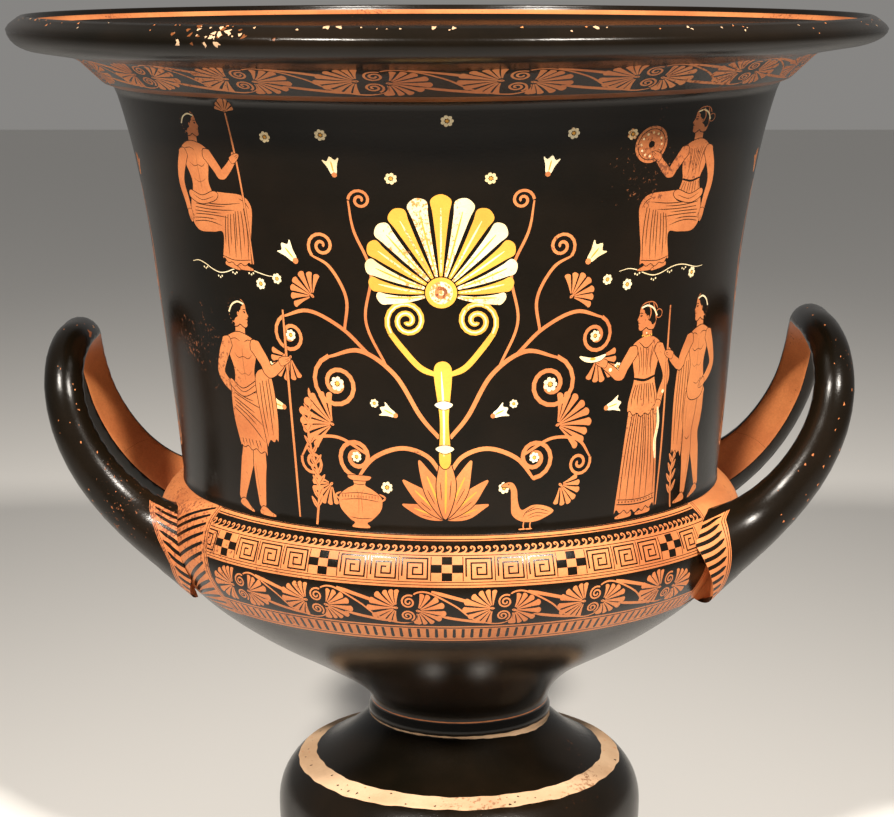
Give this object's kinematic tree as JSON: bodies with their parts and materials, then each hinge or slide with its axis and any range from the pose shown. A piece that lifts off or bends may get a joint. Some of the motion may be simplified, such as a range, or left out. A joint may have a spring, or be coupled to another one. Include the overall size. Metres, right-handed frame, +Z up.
{
  "type": "calyx krater",
  "caption": "Large two-handled mixing bowl of fired clay on a turned foot, with a flaring wall, a wide lip, painted figures and ornament bands.",
  "frame": {"origin": "middle of the pot's footprint, on the surface that it stands on", "axes": "+Z up along the pot; the painted front faces -Y; the handles are at +X and -X"},
  "size_m": [0.499, 0.499, 0.514],
  "materials": {
    "glazed_clay": "glossy black slip over orange fired clay, with reserved orange figures and bands, worn and chipped"
  },
  "bodies": {
    "root": {"krater": "glazed_clay"}
  },
  "joints": []
}
